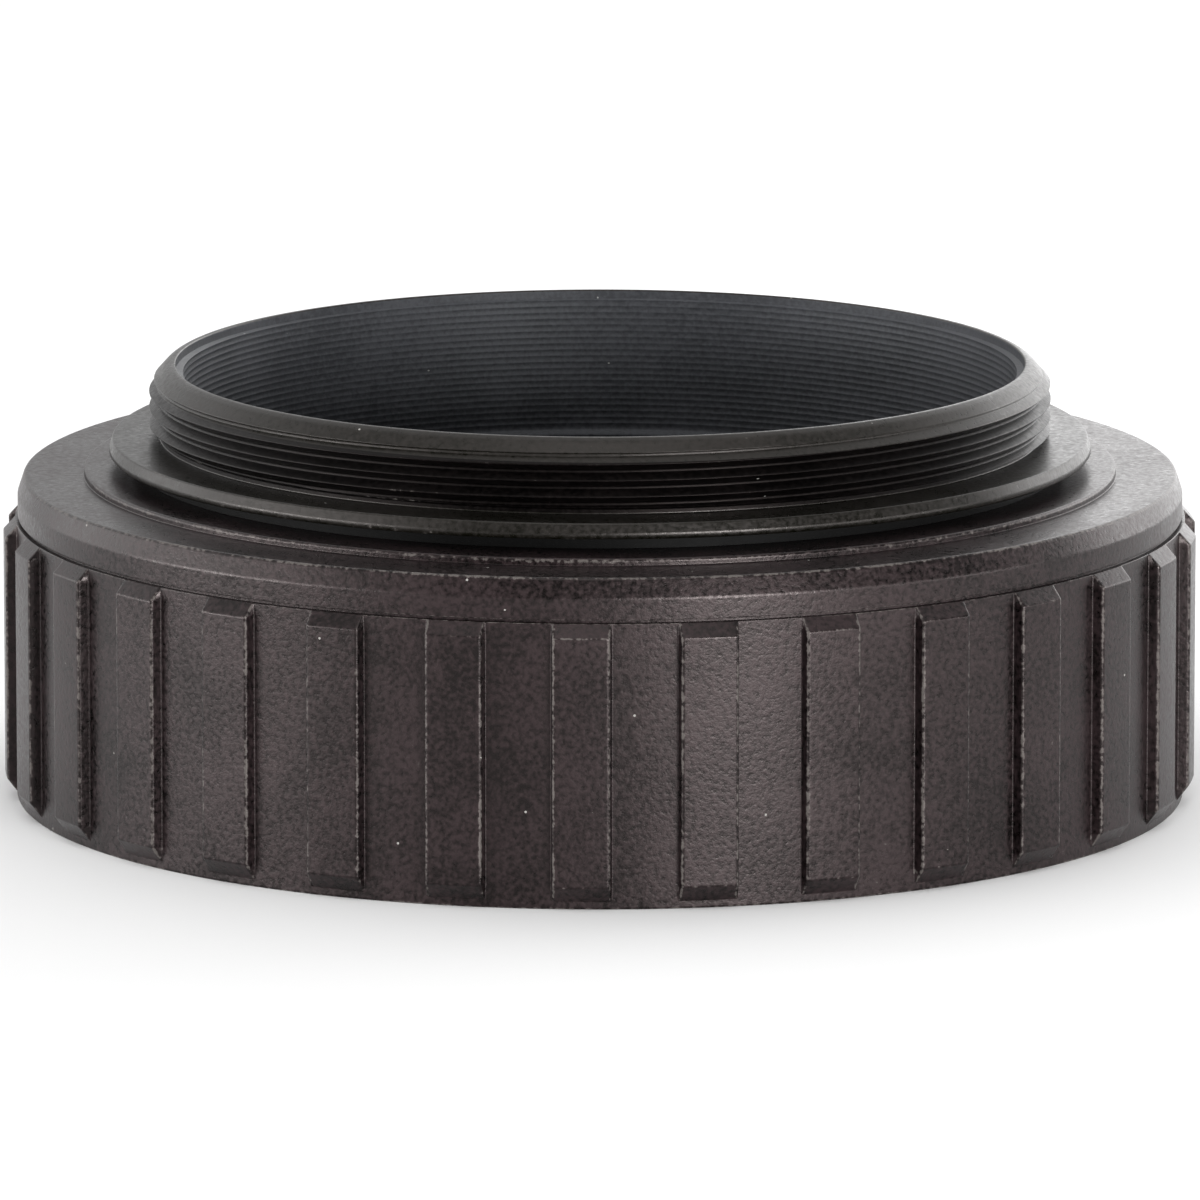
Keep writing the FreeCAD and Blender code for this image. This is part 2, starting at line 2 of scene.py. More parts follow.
# # Dressing a low barlow lens
# A barlow lens is a negative lens that makes a telescope's image larger. This one is only 20 mm high: a
# tube with a fine thread and a collar disc, and round it a ribbed ring that turns freely and screws onto
# the telescope. The solid model comes in first and isn't changed. The ring, the nose and the two lenses
# are then made again over it, with the small rounded edges, the fine threads and the black finish that a
# camera sees.

# %% Load the solid model and keep its box
import json
import math
import bmesh
import bpy
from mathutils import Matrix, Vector


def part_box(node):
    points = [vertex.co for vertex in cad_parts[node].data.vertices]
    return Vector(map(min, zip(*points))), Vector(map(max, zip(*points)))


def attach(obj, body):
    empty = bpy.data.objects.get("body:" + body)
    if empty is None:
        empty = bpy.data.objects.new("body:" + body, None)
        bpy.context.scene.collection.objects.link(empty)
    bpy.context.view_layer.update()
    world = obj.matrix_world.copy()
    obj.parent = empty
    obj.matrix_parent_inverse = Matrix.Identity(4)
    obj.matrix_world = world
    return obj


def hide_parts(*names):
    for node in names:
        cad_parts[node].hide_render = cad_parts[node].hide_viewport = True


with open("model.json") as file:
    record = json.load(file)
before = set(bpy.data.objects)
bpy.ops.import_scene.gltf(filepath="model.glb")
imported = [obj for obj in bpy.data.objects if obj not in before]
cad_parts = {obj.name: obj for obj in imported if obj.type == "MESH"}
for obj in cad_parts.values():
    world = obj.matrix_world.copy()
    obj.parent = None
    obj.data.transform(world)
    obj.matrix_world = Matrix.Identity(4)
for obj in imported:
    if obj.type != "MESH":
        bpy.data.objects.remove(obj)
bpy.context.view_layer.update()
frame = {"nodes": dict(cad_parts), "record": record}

# %% [markdown]
# ## Sizes
# Heights and radii come from the boxes of the solid pieces and from the record's two threads, so a new
# model brings its own. What a box can't tell, such as how deep a rib is, is a named value in millimetres.

# %% Read the sizes of the solid pieces
MM = 0.001


def height_range(node):
    """The lowest and highest point of a solid piece, in mm."""
    low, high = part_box(node)
    return low.z / MM, high.z / MM


def reach(node):
    """How far a round solid piece reaches from the axis, in mm."""
    low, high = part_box(node)
    return max(high.x, high.y, -low.x, -low.y) / MM


mounts = {mount["name"]: mount for mount in frame["record"]["mounts"]}
camera_thread_r = mounts["camera_thread"]["dims"]["r_mm"]
socket_r = mounts["telescope_thread"]["dims"]["r_mm"]
land_top = height_range("grip_ring")[1]
neck_foot, nose_top = height_range("nose_body")
rib_r = reach("grip_ring")
disc_r = reach("nose_body")
print("ribs", round(rib_r, 2), "disc", round(disc_r, 2), "heights", round(land_top, 2), round(nose_top, 2))

# %% [markdown]
# ## Arithmetic on nodes
# A pattern is a sum worked out at every point of a surface. Wiring such sums by hand is slow to read, so
# one small class wraps a socket and lets ordinary Python operators add the Math nodes. The same class
# serves materials and Geometry Nodes, because both use the same Math node.

# %% A socket that can be added, multiplied and compared
class Net:
    """One output socket of a node tree. Arithmetic on it adds Math nodes to that tree."""

    def __init__(self, tree, socket=None):
        self.tree = tree
        self.socket = socket

    def node(self, kind, settings=None, values=None, out=0):
        """Adds a node: its settings first, then its inputs, each a number, a colour or another Net."""
        made = self.tree.nodes.new(kind)
        for name, value in (settings or {}).items():
            setattr(made, name, value)
        for key, value in (values or {}).items():
            if isinstance(value, Net):
                self.tree.links.new(value.socket, made.inputs[key])
            else:
                made.inputs[key].default_value = value
        return Net(self.tree, made.outputs[out] if len(made.outputs) else None)

    def math(self, operation, *values):
        return self.node("ShaderNodeMath", {"operation": operation}, dict(enumerate(values)))

    def __add__(self, other):
        return self.math("ADD", self, other)

    __radd__ = __add__

    def __mul__(self, other):
        return self.math("MULTIPLY", self, other)

    __rmul__ = __mul__

    def __sub__(self, other):
        return self.math("SUBTRACT", self, other)

    def __rsub__(self, other):
        return self.math("SUBTRACT", other, self)

    def __truediv__(self, other):
        return self.math("DIVIDE", self, other)

    def __gt__(self, other):
        return self.math("GREATER_THAN", self, other)

    def __lt__(self, other):
        return self.math("LESS_THAN", self, other)

    def clamped(self):
        """The value held between 0 and 1."""
        return self.math("MINIMUM", self.math("MAXIMUM", self, 0), 1)


print("sums on sockets are ready for materials and for Geometry Nodes")

# %% [markdown]
# ## Outlines with rounded corners
# A lathe leaves every edge slightly broken, and that thin rounded edge is what catches the light. A Bevel
# modifier could add it, but on long thin faces it is hard to control. Here each outline is a list of
# corners, and a corner is replaced by a short curve with a point on each side of it, which keeps the flat
# faces beside it flat when they are shaded smooth.

# %% Round the corners of an outline
CURVE_STEPS = 3          # straight pieces in one rounded corner
KEEP_FLAT = 1.3          # how far past the rounding the extra points stand, as a share of it
MOST_OF_SIDE = 0.45      # a rounding takes less than half of a side, so two never meet


def towards(start, finish, distance):
    """The point that lies a distance from start on the way to finish."""
    length = math.dist(start, finish)
    share = min(distance / length, MOST_OF_SIDE)
    return tuple(a + (b - a) * share for a, b in zip(start, finish))


def rounded(corners, closed=True):
    """Turns (across, up, rounding) corners into points. A rounding of 0 keeps the corner sharp."""
    points = []
    for i, (across, up, size) in enumerate(corners):
        here = (across, up)
        at_end = not closed and i in (0, len(corners) - 1)
        if size == 0 or at_end:
            points.append(here)
            continue
        before = corners[i - 1][:2]
        after = corners[(i + 1) % len(corners)][:2]
        first, last = towards(here, before, size), towards(here, after, size)
        points.append(towards(here, before, size * KEEP_FLAT))
        for step in range(CURVE_STEPS + 1):
            s = step / CURVE_STEPS
            points.append(tuple((1 - s) ** 2 * a + 2 * s * (1 - s) * b + s * s * c
                                for a, b, c in zip(first, here, last)))
        points.append(towards(here, after, size * KEEP_FLAT))
    return points


one_corner = rounded([(0, 0, 0.05), (1, 0, 0), (0, 1, 0)])[:-2]
print("one corner becomes", len(one_corner), "points")

# %% [markdown]
# ## From outline to turned piece
# Turned pieces are an outline swept round the axis. Blender's Screw modifier does that, but building the
# mesh directly gives closed shapes whose faces all point outwards, and columns that the thread can bend.

# %% Sweep an outline round the axis
FULL_TURN = 2 * math.pi


def as_piece(name, points, faces):
    """A mesh object of that name from points in mm, shaded smooth."""
    mesh = bpy.data.meshes.new(name)
    mesh.from_pydata([tuple(value * MM for value in point) for point in points], [], faces)
    mesh.shade_smooth()
    piece = bpy.data.objects.new(name, mesh)
    bpy.context.scene.collection.objects.link(piece)
    return piece


def turned(name, outline, columns=288):
    """Sweeps a closed outline of (radius, height) points, listed anticlockwise, once round the axis."""
    points, faces = [], []
    rows = len(outline)
    for column in range(columns):
        angle = FULL_TURN * column / columns
        points += [(r * math.cos(angle), r * math.sin(angle), z) for r, z in outline]
        following = (column + 1) % columns
        for row in range(rows):
            above = (row + 1) % rows
            faces.append((column * rows + row, following * rows + row,
                          following * rows + above, column * rows + above))
    return as_piece(name, points, faces)


def turned_solid(name, outline, columns=192):
    """Sweeps an outline whose two ends lie on the axis, lowest first, and closes each end on one point."""
    middle = outline[1:-1]
    rows = len(middle)
    points, faces = [(0, 0, outline[0][1]), (0, 0, outline[-1][1])], []
    for column in range(columns):
        angle = FULL_TURN * column / columns
        points += [(r * math.cos(angle), r * math.sin(angle), z) for r, z in middle]
        here = 2 + column * rows
        following = 2 + (column + 1) % columns * rows
        faces += [(0, following, here), (1, here + rows - 1, following + rows - 1)]
        faces += [(here + row, following + row, following + row + 1, here + row + 1)
                  for row in range(rows - 1)]
    return as_piece(name, points, faces)


# %% [markdown]
# ## Geometry Nodes as two machine tools
# Two things repeat on this object. The ribs are one shape copied thirty times round the ring, and a screw
# thread is one groove that climbs as it goes round. Each gets a tree: the first copies a wedge round the
# axis, the second moves points in or out where the helix passes. Both could be loops in Python, but a
# tree keeps its sizes as named inputs that can be changed and tried.

# %% Build and run a tree
def new_tool(name, inputs):
    """An empty Geometry Nodes tree with those named inputs. Returns the tree and its inputs as Nets."""
    tree = bpy.data.node_groups.new(name, "GeometryNodeTree")
    tree.interface.new_socket("Geometry", in_out="INPUT", socket_type="NodeSocketGeometry")
    for label, kind in inputs:
        tree.interface.new_socket(label, in_out="INPUT", socket_type=kind)
    tree.interface.new_socket("Geometry", in_out="OUTPUT", socket_type="NodeSocketGeometry")
    entry = tree.nodes.new("NodeGroupInput")
    return tree, {socket.name: Net(tree, socket) for socket in entry.outputs if socket.name}


def finish_tool(tree, geometry, material):
    """Ends a tree: real geometry instead of instances, then its material, then the output."""
    real = geometry.node("GeometryNodeRealizeInstances", values={0: geometry})
    coloured = real.node("GeometryNodeSetMaterial", values={"Geometry": real, "Material": material})
    output = tree.nodes.new("NodeGroupOutput")
    tree.links.new(coloured.socket, output.inputs[0])


def run_tool(tree, blank, **sizes):
    """Runs a tree on a blank piece and leaves the result in it as a plain mesh."""
    modifier = blank.modifiers.new(tree.name, "NODES")
    modifier.node_group = tree
    for item in tree.interface.items_tree:
        key = item.name.lower().replace(" ", "_")
        if item.in_out == "INPUT" and key in sizes:
            modifier[item.identifier] = sizes[key]
    bpy.context.view_layer.update()
    shape = blank.evaluated_get(bpy.context.evaluated_depsgraph_get())
    mesh = bpy.data.meshes.new_from_object(shape)
    blank.modifiers.remove(modifier)
    blank.data = mesh
    mesh.name = blank.name
    print(blank.name, len(mesh.polygons), "faces")
    return blank


# %% The tool that copies a wedge round the axis
SAME_POINT = 1e-6    # m, points closer than this become one


def copying_tool():
    """Copies the input round Z and joins the copies where they meet."""
    tree, given = new_tool("copies_round_the_axis", [
        ("Copies", "NodeSocketInt"), ("First Angle", "NodeSocketFloat"),
        ("Material", "NodeSocketMaterial")])
    net = Net(tree)
    points = net.node("GeometryNodePoints", values={"Count": given["Copies"]})
    index = net.node("GeometryNodeInputIndex")
    angle = index * FULL_TURN / given["Copies"] + given["First Angle"]
    turn = net.node("ShaderNodeCombineXYZ", values={"Z": angle})
    copies = net.node("GeometryNodeInstanceOnPoints",
                      values={"Points": points, "Instance": given["Geometry"], "Rotation": turn})
    real = net.node("GeometryNodeRealizeInstances", values={0: copies})
    joined = net.node("GeometryNodeMergeByDistance", values={"Geometry": real, "Distance": SAME_POINT})
    finish_tool(tree, joined, given["Material"])
    return tree


copy_round = copying_tool()


# %% The tool that cuts a thread
def threading_tool():
    """Moves points off the crest surface into a V groove that climbs one pitch in each turn."""
    tree, given = new_tool("thread_cutter", [
        ("Crest Radius", "NodeSocketFloat"), ("Pitch", "NodeSocketFloat"), ("Depth", "NodeSocketFloat"),
        ("Groove Width", "NodeSocketFloat"), ("Root Width", "NodeSocketFloat"),
        ("Start", "NodeSocketFloat"), ("End", "NodeSocketFloat"), ("Outside", "NodeSocketFloat"),
        ("Material", "NodeSocketMaterial")])
    net = Net(tree)
    place = net.node("GeometryNodeInputPosition")
    parts = place.node("ShaderNodeSeparateXYZ", values={0: place})
    x, y, z = (Net(tree, socket) for socket in parts.socket.node.outputs)
    radius = net.math("SQRT", x * x + y * y)
    turns = net.math("ARCTAN2", y, x) / FULL_TURN
    climb = net.math("FRACT", (z - given["Start"]) / given["Pitch"] - turns + 1)
    from_middle = net.math("ABSOLUTE", climb - 0.5) * given["Pitch"]
    half_mouth = given["Groove Width"] / 2
    half_root = given["Root Width"] / 2
    depth = ((half_mouth - from_middle) / (half_mouth - half_root)).clamped() * given["Depth"]
    inside_zone = (z > given["Start"]) * (z < given["End"])
    groove = given["Crest Radius"] - depth * given["Outside"]
    cut_to = net.math("MINIMUM", radius * given["Outside"], groove * given["Outside"]) * given["Outside"]
    near_crest = net.math("ABSOLUTE", radius - given["Crest Radius"]) < given["Depth"]
    new_radius = radius + (cut_to - radius) * inside_zone * near_crest
    scale = new_radius / radius
    moved = net.node("ShaderNodeCombineXYZ", values={"X": x * scale, "Y": y * scale, "Z": z})
    shaped = net.node("GeometryNodeSetPosition", values={"Geometry": given["Geometry"], "Position": moved})
    finish_tool(tree, shaped, given["Material"])
    return tree


cut_thread = threading_tool()

# %% [markdown]
# ## Black anodised aluminium
# Blasted and anodised aluminium is nearly black, but not flat: the blasted pits scatter the light into a
# mottled sparkle, the dye is a little warm, and at a shallow angle the oxide skin turns bright. A
# Principled shader with a dark base does the last by itself. Noise in the bump makes the pits, the same
# noise shifts the dye, and a sparse Voronoi pattern leaves a few specks of dust. Where the surface turns
# outwards sharply the finish is rubbed: the pieces carry that as an attribute, edge_wear. One function
# makes four finishes: blasted on the ring, turned on the nose, matt in its bore, and much darker and
# nearly without gloss on its thread.

# %% Helpers for a finish
def new_finish(name):
    """An empty material with a Principled shader. Returns the material, a Net and the shader."""
    material = bpy.data.materials.new(name)
    material.use_nodes = True
    tree = material.node_tree
    shader = next(node for node in tree.nodes if node.type == "BSDF_PRINCIPLED")
    return material, Net(tree), shader


def plug(shader, socket, net):
    """Links a Net into one of a shader's sockets."""
    net.tree.links.new(net.socket, shader.inputs[socket])


def mix_colours(net, share, first, second):
    """A colour between two colours."""
    return net.node("ShaderNodeMix", {"data_type": "RGBA"}, {0: share, 6: first, 7: second}, out=2)


def noise(net, place, scale, detail=2.0):
    """Grey noise between 0 and 1 whose lumps are about 1 / scale metres across."""
    return net.node("ShaderNodeTexNoise", None, {"Vector": place, "Scale": scale, "Detail": detail})


def specks(net, place, scale, size, share):
    """1 on sparse round specks, 0 between them. size and share are parts of a cell."""
    cell = {"Vector": place, "Scale": scale}
    near = net.node("ShaderNodeTexVoronoi", None, cell)
    owner = net.node("ShaderNodeTexVoronoi", None, cell, out=2)
    chance = net.node("ShaderNodeTexWhiteNoise", {"noise_dimensions": "3D"}, {"Vector": owner})
    return (near < size) * (chance < share)


def relief(net, height, depth):
    """A bump of that depth in mm."""
    return net.node("ShaderNodeBump", None, {"Strength": 1.0, "Distance": depth * MM, "Height": height})


# %% Make the anodised finishes
DUST = (0.50, 0.49, 0.46, 1)
RUBBED = (0.085, 0.078, 0.072, 1)


OXIDE_IOR = 1.36     # dyed and sealed oxide shines less than bare glass or plastic


def anodised(name, dark, light, skin, roughness, grain, dust):
    """Black anodised aluminium. skin tints its gloss, grain is the depth of the blasted pits in mm, and
    dust is the share of specks."""
    material, net, shader = new_finish(name)
    place = net.node("ShaderNodeTexCoord", out=3)
    patches = noise(net, place, 260, 3)     # 4 mm across
    lumps = noise(net, place, 4600, 2)      # 0.2 mm across
    pits = noise(net, place, 12000, 1)      # 0.1 mm across
    worn_edge = net.node("ShaderNodeAttribute", {"attribute_name": "edge_wear"}, out=2)
    worn = ((worn_edge + (lumps - 0.5) * 2.4 + (patches - 0.5) * 1.6 - 0.85) * 3).clamped()
    speck = specks(net, place, 800, 0.045, dust)
    mottle = ((lumps - 0.5) * 3.2 + (patches - 0.5) * 1.8 + 0.5).clamped()
    dyed = mix_colours(net, mottle, (*dark, 1), (*light, 1))
    rubbed = mix_colours(net, worn * 0.7, dyed, RUBBED)
    plug(shader, "Base Color", mix_colours(net, speck * 0.45, rubbed, DUST))
    plug(shader, "Roughness", roughness + (patches - 0.5) * 0.15 + (lumps - 0.5) * 0.36 + speck * 0.3)
    plug(shader, "Normal", relief(net, lumps * 0.75 + pits * 0.25, grain))
    shader.inputs["IOR"].default_value = OXIDE_IOR
    shader.inputs["Specular Tint"].default_value = (*skin, 1)
    return material


ring_black = anodised(
    "blasted_black", dark=(0.0005, 0.0002, 0.0002), light=(0.0135, 0.0085, 0.0092), skin=(1, 0.87, 0.86),
    roughness=0.34, grain=0.018, dust=0.25)
turned_black = anodised(
    "turned_black", dark=(0.002, 0.002, 0.001), light=(0.008, 0.007, 0.006), skin=(1, 0.93, 0.90),
    roughness=0.34, grain=0.010, dust=0.15)
bore_black = anodised(
    "matt_bore_black", dark=(0.022, 0.023, 0.026), light=(0.040, 0.041, 0.046), skin=(0.94, 0.97, 1),
    roughness=0.55, grain=0.014, dust=0.25)
# The thread's finish is much darker than the turned nose, and its gloss is tinted far down.
thread_black = anodised(
    "oiled_thread_black", dark=(0.0004, 0.0003, 0.0003), light=(0.0020, 0.0015, 0.0015),
    skin=(0.30, 0.26, 0.25), roughness=0.40, grain=0.010, dust=0.15)
print("finishes", ring_black.name, turned_black.name, bore_black.name, thread_black.name)

# %% [markdown]
# ## Where the finish rubs off
# Handling polishes the corners first. A corner is where two faces meet at an outward angle, and bmesh can
# tell that angle for every edge, so each point keeps the largest one of its edges as a number from 0 to 1.
# The finish above reads it. Painting it by hand would miss the thread's crests.

# %% Mark the outward corners
FULL_WEAR_ANGLE = 0.37   # radians, the turn at one point of a rounded square corner


def mark_corners(piece, inner_r=0, most=1):
    """Stores edge_wear, up to most, on every point of a piece further than inner_r mm from the axis."""
    form = bmesh.new()
    form.from_mesh(piece.data)
    wear = form.verts.layers.float.new("edge_wear")
    for point in form.verts:
        if point.co.xy.length > inner_r * MM:
            sharpest = max(edge.calc_face_angle_signed(0) for edge in point.link_edges)
            point[wear] = min(max(sharpest / FULL_WEAR_ANGLE, 0), 1) * most
    form.to_mesh(piece.data)
    form.free()
    print(piece.name, "carries edge_wear on", len(piece.data.vertices), "points")


# %% [markdown]
# ## The grip ring
# The ring is one profile that is the same all round, except that its wall stands out at the ribs. So two
# outlines are drawn, one through a rib and one through a slot, with the same corners. A wedge of one rib
# pitch blends from one to the other, and the copying tool repeats it thirty times. The low wall of the
# raised land on top faces the gap under the collar disc, where dust gathers, so it is marked as rubbed.

# %% Draw the ring's two outlines
rib_count = 30
rib_depth = 0.55
band_set_back = 0.12     # the plain band lies that far inside the floors between the ribs
rib_foot, foot_bevel = 0.38, 0.71
land_rise = 0.34
band_height, head_bevel = 2.02, 0.58
line_depth, line_width = 0.14, 0.14
band_lean, lean_height = 0.3, 0.9
thread_depth = 0.4
chamber_relief = 0.25
sleeve_wall = thread_depth + 0.15
mate_gap = 0.4           # from the socket's end to the neck's foot
seat_gap = 0.01          # where pieces bear on each other
land_r = 24.05
bore_r = 20.7
floor_r = rib_r - rib_depth
band_r = floor_r - band_set_back
ring_top = land_top - land_rise
rib_head = ring_top - band_height
chamber_r = socket_r + thread_depth + chamber_relief
sleeve_r = socket_r + sleeve_wall
shoulder = height_range("bottom_glide_washer")[1] + seat_gap
socket_depth = neck_foot - mate_gap
print("rib floors", round(floor_r, 2), "band", round(band_r, 2), "flat top", round(ring_top, 2))


def ring_outline(bulge):
    """The ring's outline where its wall stands out by bulge, from the foot's inner edge round."""
    wall = floor_r + bulge
    return rounded([
        (sleeve_r, 0, 0.02), (floor_r, 0, 0.09), (floor_r, rib_foot, 0.03),
        (wall, rib_foot + foot_bevel, 0.06), (wall, rib_head - head_bevel, 0.06),
        (floor_r, rib_head, 0.03), (band_r - line_depth, rib_head, 0.02),
        (band_r - line_depth, rib_head + line_width, 0.02), (band_r, rib_head + line_width, 0.03),
        (band_r, ring_top - lean_height, 0.07), (band_r - band_lean, ring_top, 0.12),
        (land_r, ring_top, 0.04), (land_r, land_top, 0.14),
        (bore_r, land_top, 0.05), (bore_r, shoulder, 0.05), (chamber_r, shoulder, 0.05),
        (chamber_r, socket_depth, 0.02), (sleeve_r, socket_depth, 0.02)])


# %% Blend them over one rib pitch and copy that round
slot_half = 3.15     # degrees, half of a slot's floor
mouth_half = 3.32    # degrees, half of its mouth
rib_middle = 4.6     # degrees, a column on the rib's flat
pitch_half = 180 / rib_count
degree = math.radians(1) * rib_r     # mm round the ribs


def rib_section():
    """(angle in degrees, share of the full rib) pairs from a slot's middle to the next one's middle."""
    half = rounded([
        (0, 0, 0), (slot_half * degree / 2, 0, 0), (slot_half * degree, 0, 0.06),
        (mouth_half * degree, rib_depth, 0.13), (rib_middle * degree, rib_depth, 0),
        (pitch_half * degree, rib_depth, 0)], closed=False)
    first = [(along / degree, depth / rib_depth) for along, depth in half]
    return first + [(2 * pitch_half - angle, share) for angle, share in reversed(first[:-1])]


def rib_wedge():
    """One pitch of the ring, open at both ends, where the next copy joins it."""
    slot, rib = ring_outline(0), ring_outline(rib_depth)
    rows = len(slot)
    points, faces = [], []
    section = rib_section()
    for column, (degrees, share) in enumerate(section):
        angle = math.radians(degrees)
        for (r0, z0), (r1, z1) in zip(slot, rib):
            r, z = r0 + (r1 - r0) * share, z0 + (z1 - z0) * share
            points.append((r * math.cos(angle), r * math.sin(angle), z))
        if column == len(section) - 1:
            break
        for row in range(rows):
            above = (row + 1) % rows
            faces.append((column * rows + row, (column + 1) * rows + row,
                          (column + 1) * rows + above, column * rows + above))
    return as_piece("grip_ring_shell", points, faces)


ring_turn = math.radians(-1.75)
ring_shell = run_tool(copy_round, rib_wedge(), copies=rib_count, first_angle=ring_turn, material=ring_black)
mark_corners(ring_shell, band_r - 1)

# %% Rub the land's low wall
land_wear = 0.85
near_land = 0.06     # mm
wear_of_ring = ring_shell.data.attributes["edge_wear"].data
rubbed_points = [point.index for point in ring_shell.data.vertices
                 if abs(point.co.xy.length / MM - land_r) < near_land
                 and point.co.z / MM > ring_top + near_land]
for index in rubbed_points:
    wear_of_ring[index].value = land_wear
print(len(rubbed_points), "points of the land's wall rubbed")

# %% [markdown]
# ## The telescope thread
# The ring's female thread is hidden from above, but shows when the part is turned over. It is a thin
# sleeve with its rows close together, so that the threading tool has points to move.

# %% Divide an outline finely and cut the socket's thread
def divided(points, step, low, high):
    """Adds points to an outline where it climbs between two heights, about a step apart."""
    finer = []
    for (r0, z0), (r1, z1) in zip(points, points[1:] + points[:1]):
        finer.append((r0, z0))
        inside = low - 0.01 <= min(z0, z1) and max(z0, z1) <= high + 0.01
        pieces = round(abs(z1 - z0) / step) if inside else 1
        finer += [(r0 + (r1 - r0) * i / pieces, z0 + (z1 - z0) * i / pieces) for i in range(1, pieces)]
    return finer


thread_pitch = 0.75
groove_width, root_width = 0.7, 0.1
plain_end = 0.5      # mm of plain wall above the last turn
hidden_lap = 0.01
socket_bevel = 0.5
wall_row = 0.035     # mm between the rows that the tool moves
bevel_rows = 12


def socket_sleeve():
    """The blank for the telescope thread, from its lead-in bevel up."""
    outside = sleeve_r + hidden_lap
    corners = [(outside, hidden_lap), (outside, socket_depth), (socket_r, socket_depth)]
    wall_rows = int((socket_depth - socket_bevel) / wall_row)
    wall = [(socket_r, socket_depth - i * wall_row) for i in range(1, wall_rows)]
    down = [i / bevel_rows for i in range(bevel_rows + 1)]
    bevel = [(socket_r + socket_bevel * s, socket_bevel - (socket_bevel - hidden_lap) * s) for s in down]
    return corners + wall + bevel


socket_thread = run_tool(
    cut_thread, turned("telescope_thread_sleeve", socket_sleeve(), 240), crest_radius=socket_r * MM,
    pitch=thread_pitch * MM, depth=thread_depth * MM, groove_width=groove_width * MM,
    root_width=root_width * MM, start=0, end=(socket_depth - plain_end) * MM, outside=-1,
    material=ring_black)

# %% [markdown]
# ## The nose body
# The nose is turned from one bar: a neck, the collar disc, a relief, the camera thread with its lead-in
# bevel, a plain mouth, and then dozens of fine V-shaped rills that keep stray light from running along
# the bore. The rills are points of the outline, made by a loop, and the thread is cut by the tool. A
# finish belongs to a face, so each face of the finished nose is asked where it lies: in the bore, on the
# thread or elsewhere.

# %% Draw the nose and cut its thread
neck_inset, neck_thread_inset = 0.35, 0.25
inner_thread_gap = 0.04
disc_thickness, disc_taper = 0.75, 0.26
ledge_thickness, ledge_width = 0.3, 0.62
mouth_wall, mouth_depth, mouth_step = 1.23, 0.42, 0.35
nose_bevel = 0.96
lip_round = 0.22     # mm, how far the polished lip reaches down the bevel
lip_width = 0.22
relief_width, relief_depth = 0.36, 0.5
runout = 0.2         # mm of neck thread above its nut
rill_pitch, rill_depth, rill_width = 0.3, 0.07, 0.24
thread_row = 0.022   # mm between the rows that the tool moves
neck_r = camera_thread_r - neck_inset
neck_thread_r = neck_r - neck_thread_inset
cell_bore_r = reach("lens_cell") + inner_thread_gap
neck_thread_top = height_range("flange_nut")[1] + runout
disc_foot = height_range("top_glide_washer")[1] + seat_gap
disc_top = disc_foot + disc_thickness
ledge_foot = height_range("glare_stop")[1] + seat_gap
ledge_top = ledge_foot + ledge_thickness
mouth_r = camera_thread_r - mouth_wall
rill_r = mouth_r - mouth_step
ledge_r = rill_r - ledge_width
rill_top = nose_top - mouth_depth
print("neck", round(neck_r, 2), "bore", round(rill_r, 2), "disc from", round(disc_foot, 2))


def rills():
    """Points of the bore from its top down to the ledge, one V for each rill."""
    count = int((rill_top - ledge_top) / rill_pitch)
    flat = (rill_pitch - rill_width) / 2
    points = [(rill_r, rill_top)]
    for number in range(count):
        top = rill_top - number * rill_pitch
        points += [(rill_r, top - flat), (rill_r + rill_depth, top - rill_pitch / 2),
                   (rill_r, top - rill_pitch + flat)]
    return points


def nose_outline():
    """The nose's outline, from the neck's foot up the outside and down the bore."""
    relief_r = camera_thread_r - relief_depth
    relief_top = disc_top + relief_width
    outside = rounded([
        (cell_bore_r, neck_foot, 0), (neck_thread_r, neck_foot, 0.1),
        (neck_thread_r, neck_thread_top, 0), (neck_r, neck_thread_top, 0.05), (neck_r, disc_foot, 0.03),
        (disc_r, disc_foot, 0.34), (disc_r - disc_taper, disc_top, 0.07), (relief_r, disc_top, 0.05),
        (relief_r, relief_top - 0.1, 0.05), (camera_thread_r, relief_top, 0.03),
        (camera_thread_r, nose_top - nose_bevel, 0.03),
        (camera_thread_r - nose_bevel + lip_round, nose_top - lip_round * 0.7, 0.12),
        (mouth_r + lip_width, nose_top, 0.08), (mouth_r, nose_top, 0.08),
        (mouth_r, rill_top, 0)], closed=False)
    outside = divided(outside, thread_row, relief_top, nose_top)
    return outside + rills() + [(rill_r, ledge_top), (ledge_r, ledge_top), (ledge_r, ledge_foot),
                                (cell_bore_r, ledge_foot)]


nose = run_tool(
    cut_thread, turned("nose_shell", nose_outline(), 288), crest_radius=camera_thread_r * MM,
    pitch=thread_pitch * MM, depth=thread_depth * MM, groove_width=groove_width * MM,
    root_width=root_width * MM, start=(disc_top + 0.3) * MM, end=(nose_top - 0.2) * MM, outside=1,
    material=turned_black)
mark_corners(nose, inner_r=mouth_r - seat_gap, most=0.45)

# %% Give the bore and the thread finishes of their own
TURNED, MATT, THREADED = 0, 1, 2     # places in the nose's list of materials
nose.data.materials.append(bore_black)
nose.data.materials.append(thread_black)
thread_zone = (disc_top + 0.1, nose_top - nose_bevel - 0.05)


def nose_finish(face):
    """Which of the nose's finishes a face has."""
    out, up = face.center.xy.length / MM, face.center.z / MM
    if out < mouth_r + seat_gap / 2:
        return MATT
    on_thread = thread_zone[0] < up < thread_zone[1] and out > camera_thread_r - relief_depth - 0.1
    return THREADED if on_thread else TURNED


for face in nose.data.polygons:
    face.material_index = nose_finish(face)
finishes_used = [face.material_index for face in nose.data.polygons]
print("faces turned, matt and threaded:", [finishes_used.count(kind) for kind in (TURNED, MATT, THREADED)])

# %% [markdown]
# ## The doublet
# Two lenses cemented together make the cone of light longer without coloured fringes. Each is a solid of
# glass between two ball-shaped faces. A few points on each arc and a small ground bevel at the rim are
# enough, because smooth shading does the rest. The coating shows as a green tint in the reflection.

